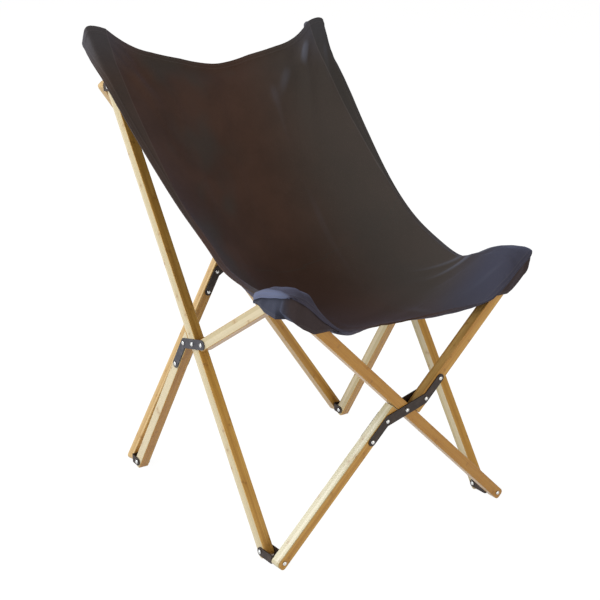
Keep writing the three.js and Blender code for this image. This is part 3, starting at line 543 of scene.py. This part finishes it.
def cloth_sheet(name, grid, hems, hem_width, thickness, finish, off_seam=None, crests=None):
    rows, columns = grid.shape[:2]
    bpy.ops.object.select_all(action="DESELECT")
    bpy.ops.mesh.primitive_grid_add(x_subdivisions=columns - 1, y_subdivisions=rows - 1, size=2)
    cloth = bpy.context.object
    cloth.name = cloth.data.name = name
    mesh = cloth.data
    if len(mesh.vertices) != rows * columns:
        raise ValueError(f"{name}: {len(mesh.vertices)} corners for {rows} x {columns}")
    mesh.vertices.foreach_set("co", grid.reshape(-1).astype(np.float32))
    across = np.zeros((rows, columns))
    across[:, 1:] = np.cumsum(np.linalg.norm(np.diff(grid, axis=1), axis=2), axis=1)
    along = np.zeros((rows, columns))
    along[1:] = np.cumsum(np.linalg.norm(np.diff(grid, axis=0), axis=2), axis=0)
    edges = {
        "start": (across, along),
        "end": (across[:, -1:] - across, along),
        "first": (along, across),
        "last": (along[-1:] - along, across),
    }
    distance = np.full((rows, columns), 1.0)
    way = np.zeros((rows, columns))
    for edge in hems:
        off, run = edges[edge]
        nearer = off < distance
        distance = np.where(nearer, off, distance)
        way = np.where(nearer, run, way)
    corners = np.zeros(len(mesh.loops), int)
    mesh.loops.foreach_get("vertex_index", corners)
    off_seam = np.full((rows, columns), 1.0) if off_seam is None else off_seam
    crests = np.zeros((rows, columns)) if crests is None else crests
    maps = (
        ("cloth", across - across[:, -1:] / 2, along),
        ("hem", way, distance),
        ("seam", off_seam, crests),
    )
    for map_name, first, second in maps:
        values = np.stack((first.reshape(-1), second.reshape(-1)), axis=1)[corners]
        layer = mesh.uv_layers.new(name=map_name)
        layer.data.foreach_set("uv", values.reshape(-1).astype(np.float32))
    mesh.uv_layers.remove(mesh.uv_layers[0])
    folded = cloth.vertex_groups.new(name="hem")
    near_edge = np.flatnonzero(distance.reshape(-1) < hem_width)
    folded.add([int(spot) for spot in near_edge], 1.0, "REPLACE")
    mesh.update()
    cut = (float(across[:, -1].max()), float(along[-1].max()))
    area = sum(face.area for face in mesh.polygons)
    cuts[name] = {"flat": cut, "area": area}
    bpy.ops.object.modifier_add(type="SOLIDIFY")
    wall = cloth.modifiers[-1]
    wall.thickness = 2 * thickness
    wall.offset = 0
    wall.vertex_group = "hem"
    wall.thickness_vertex_group = 0.5
    bpy.ops.object.modifier_apply(modifier=wall.name)
    bpy.ops.object.shade_smooth_by_angle(angle=math.radians(50))
    mesh.materials.clear()
    mesh.materials.append(finish)
    print(name, "cut", [round(value, 3) for value in cut], "area", round(area, 4))
    return cloth


def smooth_step(value, start, end):
    share = np.clip((value - start) / (end - start), 0, 1)
    return share * share * (3 - 2 * share)

# %% [markdown]
# The sling hangs from the tips of the two long bars and from the two front top corners. Its shape is
# a row of stations from the top hem to the front hem. Each station has a side edge, a middle line and
# a half width, and the cloth curves from middle to edge, then lies flat as a wing in front of the
# bar. The stations are joined by smooth curves, the same as in the frame's own model, so the fine
# cloth lies where the plain solid was.

# %% Sling stations
half_span = 277 * MM
top_corner = Vector((361.353, 900.410)) * MM
front_corner = Vector((-316.266, 541.5)) * MM
bar_up = Vector((math.sin(math.radians(36.8)), math.cos(math.radians(36.8))))
bar_front = Vector((-bar_up.y, bar_up.x))
top_pocket_depth = 100 * MM
wing_seat = 13.75 * MM
edge_sag = 123 * MM
middle_sag = 260 * MM
seat_half_width = 257.6 * MM
hem_band = 12 * MM
wing_inset = 15 * MM
sheer = (front_corner - top_corner).normalized()
sheer_length = (front_corner - top_corner).length
hang = Vector((-sheer.y, sheer.x))
if hang.y > 0:
    hang.negate()


def on_sheer(share, sag_share, sag):
    return top_corner + sheer * (share * sheer_length) + hang * (sag_share * sag)


def on_bar(below, before):
    return top_corner - bar_up * (below * top_pocket_depth) + bar_front * (before * wing_seat)


edge_line = [on_bar(-0.09, 1.09), on_bar(0.2, 1.04), on_bar(0.8, 1.08), on_bar(1.89, 2.02)]
for share, sag_share in (
    (0.377, 0.68), (0.539, 0.891), (0.688, 0.969), (0.802, 0.932), (0.912, 0.703), (0.96, 0.366),
    (0.999, 0.008),
):
    edge_line.append(on_sheer(share, sag_share, edge_sag))
middle_line = [
    on_sheer(share, sag_share, middle_sag)
    for share, sag_share in (
        (0.077, 0.203), (0.102, 0.251), (0.15, 0.305), (0.231, 0.446), (0.33, 0.617), (0.483, 0.835),
        (0.656, 0.979), (0.802, 0.976), (0.928, 0.815), (0.998, 0.632), (1.053, 0.441),
    )
]
width_shares = (1.165, 1.178, 1.18, 1.153, 1.11, 1.06, 1.029, 1.037, 1, 1, 1)
powers = (1.6, 1.6, 1.6, 1.65, 1.7, 1.8, 2, 2.2, 2.6, 3.1, 3.5)
stations = np.array([
    (edge.x, edge.y, middle.x, middle.y, share * seat_half_width, power)
    for edge, middle, share, power in zip(edge_line, middle_line, width_shares, powers)
])
print("stations", len(stations))


# %% Sling surface
def station_at(share):
    spot = share * (len(stations) - 1)
    first = min(int(spot), len(stations) - 2)
    part = spot - first
    before, start, end, after = (
        stations[min(max(first + step, 0), len(stations) - 1)] for step in (-1, 0, 1, 2)
    )
    leave = (end - before) / 2
    arrive = (after - start) / 2
    return (
        (2 * start - 2 * end + leave + arrive) * part ** 3
        + (3 * end - 3 * start - 2 * leave - arrive) * part ** 2
        + leave * part
        + start
    )


bowl_top = (
    (0, 90, 111, 128, 145, 161, 178, 195, 212, 228, 245, 262),
    (0, 1, 4, 7, 10, 13, 17, 20, 21, 20, 16, 10),
)
wing_top = ((0, 0.1, 0.2, 0.32, 0.45, 0.55, 0.7, 0.85, 1), (10, 7, 4.5, 2.5, 1.5, 3, 9, 17, 26))
wrap_shares = ((0.05, 0.14, 0.18, 0.21, 0.234, 0.27, 0.31), (1, 0.8, 0.62, 0.42, 0.25, 0.1, 0))
wrap_out = ((0, 0.55, 0.62, 0.7, 1), (262, 302.5, 305.8, 307, 307))
wrap_behind = ((0, 0.55, 0.62, 0.7, 1), (0, 0, 1, 5, 29))
cover_wings = (0, 0.2, 0.4, 0.7, 0.8, 0.86, 1)
cover_out = (245.6, 257.5, 270, 296, 304.8, 307, 307)
bowl_columns = 84
wing_columns = 16
crease_share = 0.65
seat_rim = ([-375.8, -317, -296, -280, -263, -248], [544, 544, 541, 532, 516, 503])


def sling_row(share):
    edge_y, edge_z, middle_y, middle_z, half_width, power = station_at(share)
    bowl = min(half_span - wing_inset, half_width - hem_band)
    row = []
    for column in range(-bowl_columns // 2 - wing_columns, bowl_columns // 2 + wing_columns + 1):
        outward = min(abs(column) / (bowl_columns / 2), 1)
        crowded = outward + 0.35 * (math.sin(outward * math.pi / 2) - outward)
        wing = max(abs(column) - bowl_columns / 2, 0) / wing_columns
        lift = crowded ** power
        x = math.copysign(crowded * bowl + wing * (half_width - bowl), column)
        y, z = middle_y + lift * (edge_y - middle_y), middle_z + lift * (edge_z - middle_z)
        drop = np.interp(wing, *wing_top) if wing else np.interp(abs(x) / MM, *bowl_top)
        drop *= MM * (1 - float(smooth_step(share, 0, 0.2)))
        y -= bar_up.x * drop
        z -= bar_up.y * drop
        wrapped = float(np.interp(share, *wrap_shares))
        if wing and wrapped:
            out = np.interp(wing, *wrap_out) * MM
            behind = np.interp(wing, *wrap_behind) * MM * wrapped
            x += wrapped * (math.copysign(out, column) - x)
            y -= bar_front.x * behind
            z -= bar_front.y * behind
        over_pocket = float(smooth_step(-edge_y, 243 * MM, 273 * MM))
        if wing and share > crease_share and over_pocket:
            rim = float(np.interp(edge_y / MM, *seat_rim)) * MM
            out = np.interp(wing, cover_wings, cover_out) * MM
            hanging = 14 - 11 * float(smooth_step(share, 0.93, 0.99))
            rise = np.interp(wing, cover_wings, (0, -2, 0.5, 0.5, -2, -4, -hanging)) * MM
            level = edge_z + (rim - edge_z) * min(wing * 3, 1) + rise
            x += over_pocket * (math.copysign(out, column) - x)
            z += over_pocket * (level - z)
        row.append((x, y, z))
    return row


back_rows = 116
seat_rows = 90
shares = np.concatenate((
    np.linspace(0, crease_share, back_rows + 1),
    np.linspace(crease_share, 1, seat_rows + 1)[1:],
))
sling = np.array([sling_row(share) for share in shares])
print("sling grid", sling.shape)

# %% [markdown]
# At each front corner the seat's cloth doesn't stop behind the front bars. It goes on over the pocket,
# down its outer side in a narrow band, and over the front bars to a hem that hangs just in front of
# them and runs on across the middle. The corner is drawn by moving the last rows of the seat forward
# first and then down, more and more towards the corner.

# %% Front corners of the seat
hem_line = (
    [0, 30, 60, 90, 115, 140, 165, 190, 209, 231, 247, 262, 275, 290, 300, 307],
    [419, 419, 424, 433, 441.5, 450, 456, 463, 474, 490, 505, 518, 528, 536, 540, 541],
)
far_out = np.abs(sling[-1, :, 0]) / MM
hem_drop = np.interp(far_out, *hem_line) * MM - sling[-1, :, 2]
hem_drop[far_out > 303] = -1 * MM
hem_push = (-298.5 - 80.5 * smooth_step(far_out, 20, 190)) * MM - sling[-1, :, 1]
forward = smooth_step(shares, 0.885, 0.985)[:, None]
downward = smooth_step(shares, 0.945, 1.0)[:, None] ** 1.6
swell = 4 * forward * (1 - forward)
sling[:, :, 1] += forward * hem_push[None, :]
sling[:, :, 2] += downward * hem_drop[None, :]
sling[:, :, 2] += swell * (smooth_step(far_out, 210, 265) * 4 * MM)[None, :]
turn_x, turn_y, turn_radius = 272 * MM, -345 * MM, 35 * MM
beyond_x = np.maximum(np.abs(sling[:, :, 0]) - turn_x, 0)
beyond_y = np.maximum(turn_y - sling[:, :, 1], 0)
beyond = np.hypot(beyond_x, beyond_y)
past = (beyond > turn_radius) & (beyond_x > 0) & (beyond_y > 0)
pull = np.where(past, turn_radius / np.maximum(beyond, 1e-9), 1.0)
at_corner = past & (sling[:, :, 2] > 0.44) & (shares > 0.85)[:, None]
side_sign = np.sign(sling[:, :, 0])
sling[:, :, 0] = np.where(at_corner, side_sign * (turn_x + beyond_x * pull), sling[:, :, 0])
sling[:, :, 1] = np.where(at_corner, turn_y - beyond_y * pull, sling[:, :, 1])
print("hem pushed forward", round(float(np.abs(hem_push).max()) * 1000), "mm")

# %% [markdown]
# Real canvas isn't a perfect bowl. Folds run out from the corners that carry it, a soft ridge is left
# down the middle from the way it was folded in the box, and the whole sheet is slightly uneven. These
# are small moves along the cloth's own normal, a few millimetres at most.

# %% Folds in the canvas
def cloth_normals(grid):
    over = np.gradient(grid, axis=1)
    down = np.gradient(grid, axis=0)
    normals = np.cross(over, down)
    return normals / np.maximum(np.linalg.norm(normals, axis=2, keepdims=True), 1e-9)


normals = cloth_normals(sling)
normals *= np.sign(normals[60, 40, 2])
x = sling[:, :, 0]
run = np.zeros(x.shape)
run[1:] = np.cumsum(np.linalg.norm(np.diff(sling, axis=0), axis=2), axis=0)
rest = run[-1:] - run
folds = np.zeros(x.shape)
for side in (-1, 1):
    from_side = 0.29 - side * x
    for down, spread in ((run, 1.0), (rest, 0.8)):
        reach = np.hypot(from_side, down)
        angle = np.arctan2(down, from_side + 0.02)
        fade = smooth_step(reach, 0.03, 0.09) * np.exp(-reach / (0.13 * spread))
        folds += 2.6 * MM * fade * np.sin(9 * angle + 1.3 * side + 2 * spread)
        folds += 1.4 * MM * fade * np.sin(17 * angle - 0.7 * side)
for side in (-1, 1):
    for inside, width, height in ((0, 0.011, 3.6), (0.026, 0.013, -2.6), (0.055, 0.014, 1.8)):
        line = side * (0.243 - inside - (0.3 + 2 * inside) * run)
        ridge = np.exp(-((x - line) / width) ** 2) * smooth_step(run, 0.005, 0.04) * np.exp(-run / 0.15)
        folds += height * MM * ridge
corner_creases = (
    (-0.276, 1.4, 0.009, 3.2),
    (-0.258, 1.9, 0.008, 2.2),
    (-0.295, 1.1, 0.012, -2.4),
)
for start, slope, width, height in corner_creases:
    line = start + slope * (0.262 - np.abs(x))
    ridge = np.exp(-((sling[:, :, 1] - line) / width) ** 2) * smooth_step(np.abs(x), 0.15, 0.24)
    folds += height * MM * ridge * (shares > 0.7)[:, None]
for ridge, width, height in ((-0.022, 0.009, 1.5), (0.118, 0.011, 1.2), (-0.14, 0.012, 0.8)):
    folds += height * MM * np.exp(-((x - ridge) / width) ** 2) * smooth_step(run, 0.02, 0.12)
crests = folds * (0.35 + 0.65 * smooth_step(x, -0.05, 0.05))
uneven = np.array([
    [noise.noise(Vector((spot[0] * 9, spot[1] * 9, spot[2] * 9))) for spot in row] for row in sling
])
folds += 1.8 * MM * uneven
folds *= 0.15 + 0.85 * smooth_step(np.abs(x), 0.3, 0.245)
folds *= 1 - 0.8 * smooth_step(shares, 0.9, 0.97)[:, None] * smooth_step(np.abs(x), 0.16, 0.24)
sling = sling + normals * folds[:, :, None]
print("folds up to", round(float(np.abs(folds).max()) * 1000, 1), "mm")

# %% Sling panels
seam_x = half_span - wing_inset
seam_run = 0.5
off_seam = np.abs(x) - seam_x + 1.0 * (run > seam_run)
back_panel = cloth_sheet(
    "sling_back_canvas", sling[: back_rows + 1], ("start", "end", "first"), 14 * MM, 1.6 * MM,
    sling_finish, off_seam[: back_rows + 1], crests[: back_rows + 1],
)
seat_panel = cloth_sheet(
    "sling_seat_canvas", sling[back_rows:], ("start", "end", "last"), 14 * MM, 1.6 * MM, sling_finish,
    crests=crests[back_rows:],
)

# %% [markdown]
# The front pockets of the sling slip over the corners where the side links meet the front frame. Such
# a pocket is a bag, so it is made as one: a row of arched sections that runs along the link, turns
# round the corner and goes on along the front bars, open below and fading out at both ends. The outer
# and inner lines are drawn in plan and the rim and lower edges as heights along them. The seat's
# cloth covers the bag, so every spot of it is kept a little below the seat.

# %% Front pocket lines
straight_count = 14
corner_count = 14


def rounded_corner(start, corner, end, radius, count):
    start, corner, end = Vector(start), Vector(corner), Vector(end)
    into, out = (corner - start).normalized(), (end - corner).normalized()
    centre = corner - into * radius + out * radius
    line = [start.lerp(corner - into * radius, step / straight_count) for step in range(straight_count)]
    for step in range(count + 1):
        turn = math.pi / 2 * step / count
        line.append(centre - out * radius * math.cos(turn) + into * radius * math.sin(turn))
    leaving = corner + out * radius
    line += [leaving.lerp(end, (step + 1) / straight_count) for step in range(straight_count)]
    return line


outer_line = rounded_corner((-304, -272), (-304, -375.8), (-190, -375.8), 26, corner_count)
inner_line = rounded_corner((-258, -272), (-258, -336), (-190, -336), 3, corner_count)
rim_side = ([-375.8, -335, -317, -296, -280, -263, -248], [541.5, 541.5, 540.5, 530, 519, 508, 500])
low_side = (
    [-375.8, -349.8, -333.5, -305, -290, -275, -262, -248],
    [489, 491, 493, 495, 503, 504, 498, 492],
)
rim_front = ([-304, -289, -263, -218.5, -190], [541.5, 541.5, 529, 490.9, 467.4])
low_front = ([-304, -296, -283, -264, -240, -196, -190], [492, 492, 485, 475, 462, 463.2, 465])
print("pocket line", len(outer_line), "spots")


# %% Front pocket
half = sling[back_rows:, sling.shape[1] // 2:]
cover_spots = half.reshape(-1, 3).tolist()
wide = half.shape[1]
cover_faces = [
    (spot, spot + 1, spot + wide + 1, spot + wide)
    for row in range(half.shape[0] - 1)
    for spot in range(row * wide, row * wide + wide - 1)
]
seat_cover = BVHTree.FromPolygons(cover_spots, cover_faces)


def below_seat(spot, gap):
    hit = seat_cover.ray_cast(Vector((abs(spot[0]), spot[1], 1)), Vector((0, 0, -1)))[0]
    return min(spot[2], hit.z - gap) if hit else spot[2]


def front_pocket(name, side):
    grid = []
    for step, (outer, inner) in enumerate(zip(outer_line, inner_line)):
        turned = min(max((step - straight_count) / corner_count, 0), 1)
        rim = (1 - turned) * np.interp(outer.y, *rim_side) + turned * np.interp(outer.x, *rim_front)
        low = (1 - turned) * np.interp(outer.y, *low_side) + turned * np.interp(outer.x, *low_front)
        middle, half = (outer + inner) / 2, (outer - inner) / 2
        tucked = float(smooth_step(-outer.y, 338, 352))
        drop = max(rim - low, 2)
        crown = min(15, drop * 0.45)
        section = []
        for step_up in range(8):
            share = step_up / 8
            belly = 1 + 0.03 * math.sin(math.pi * share) + 0.012 * math.sin(5 * share + step * 0.7)
            spot = middle + half * belly
            level = low + share * (rim - crown - low)
            edge = 284 + 1.1 * (level - 492) if side < 0 else 276 + 0.98 * (level - 492)
            beyond = max(-spot.x - edge, 0) if level < 512 else 0
            section.append((spot.x + tucked * beyond, spot.y + tucked * 8 * (1 - share), level))
        for level in range(17):
            turn = math.pi * level / 16
            out = math.copysign(abs(math.cos(turn)) ** 0.55, math.cos(turn))
            spot = middle + half * out
            section.append((spot.x, spot.y, rim - crown + crown * abs(math.sin(turn)) ** 0.8))
        for level in range(7, -1, -1):
            spot = middle - half
            section.append((spot.x, spot.y, low + level / 8 * (rim - crown - low)))
        grid.append(section)
    grid = np.array(grid) * MM
    around = np.linspace(0, 1, grid.shape[1])[None, :]
    way = np.linspace(0, 1, grid.shape[0])[:, None]
    creases = 1.3 * np.sin(38 * way + 5 * around) + 0.9 * np.sin(61 * way - 7 * around)
    creases *= smooth_step(around, 0.02, 0.2) * smooth_step(around, 0.75, 0.5)
    grid += cloth_normals(grid) * (creases * MM * 0.8)[:, :, None]
    for spot in grid.reshape(-1, 3):
        spot[2] = below_seat(spot, 2.8 * MM)
    grid[:, :, 0] *= -side
    if side > 0:
        grid = grid[::-1]
    return cloth_sheet(name, grid, ("start", "end", "first", "last"), 9 * MM, 1.4 * MM, pocket_finish)


front_left_bag = front_pocket("front_left_pocket_canvas", -1)
front_right_bag = front_pocket("front_right_pocket_canvas", 1)

# %% [markdown]
# The top pockets are socks over the tips of the long bars. Each is a row of rounded-square sections
# along the bar, cut on a slant at its open lower hem and drawn in to a blunt end past the bar's tip.

# %% Top pockets
front_foot = Vector((-277, -301.766, 14)) * MM
lean = math.radians(36.8)
up_bar = Vector((0, math.sin(lean), math.cos(lean)))
behind_bar = Vector((0, math.cos(lean), -math.sin(lean)))


def top_pocket(name, side):
    grid = []
    stops = [(along, 1, 1) for along in (1007, 1020, 1035, 1050, 1065, 1080, 1092, 1099)]
    for step in range(1, 8):
        turned = math.pi / 2 * step / 7.3
        stops.append((1099 + 13.4 * math.sin(turned), 0.985 - 0.4 * (step / 7) ** 6, math.cos(turned)))
    for along, size, depth in stops:
        ring = []
        half_width = float(np.interp(along, (1007, 1075), (14.4, 19.2)))
        snug = float(smooth_step(along, 1060, 1092))
        for step in range(41):
            turn = 2 * math.pi * step / 40 + math.pi / 2
            out = math.copysign(abs(math.cos(turn)) ** 0.5, math.cos(turn)) * half_width * size
            over = math.copysign(abs(math.sin(turn)) ** 0.5, math.sin(turn)) * (14.6 - 1.9 * snug) * depth
            pucker = 0.5 * math.sin(5 * turn + along * 0.05)
            slant = 19 * (1 + over / 14.6) * max(1099 - along, 0) / 92
            behind = 1.6 - 1.4 * snug + over + pucker * depth
            spot = front_foot + up_bar * (along + slant) * MM + behind_bar * behind * MM
            ring.append((spot.x + (13.45 - half_width + out) * MM, spot.y, spot.z))
        grid.append(ring)
    grid = np.array(grid)
    grid[:, :, 0] *= -side
    if side < 0:
        grid = grid[:, ::-1]
    return cloth_sheet(name, grid, ("first",), 9 * MM, 1.2 * MM, sling_finish)


top_left_sock = top_pocket("top_left_pocket_canvas", -1)
top_right_sock = top_pocket("top_right_pocket_canvas", 1)

# %% [markdown]
# Each piece now rides on the body that carries it. When the chair folds, its two sides come together
# and the sling crumples between them, which a stiff sheet can't show; the panels stay as they are.

# %% Bodies and cloth sizes
for panel, body in ((back_panel, "sling_back"), (seat_panel, "sling_seat")):
    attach(panel, body)
    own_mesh(panel)
    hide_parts(body)
for bag, body, node, held_on in (
    (front_left_bag, "front_left_top", "front_left_pocket", ["left_link", "front_through_bar"]),
    (front_right_bag, "front_right_top", "front_right_pocket", ["right_link", "front_upper_bar"]),
    (top_left_sock, "left_long_bar", "top_left_pocket", ["left_long_bar"]),
    (top_right_sock, "right_long_bar", "top_right_pocket", ["right_long_bar"]),
):
    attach(bag, body)
    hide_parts(node)
for panel, carriers in (
    (back_panel, (top_left_sock, top_right_sock)),
    (seat_panel, (front_left_bag, front_right_bag)),
):
    held_on = [carrier.name for carrier in carriers]
for name, cut in cuts.items():
    print(name, [round(side, 3) for side in cut["flat"]], round(cut["area"], 4))
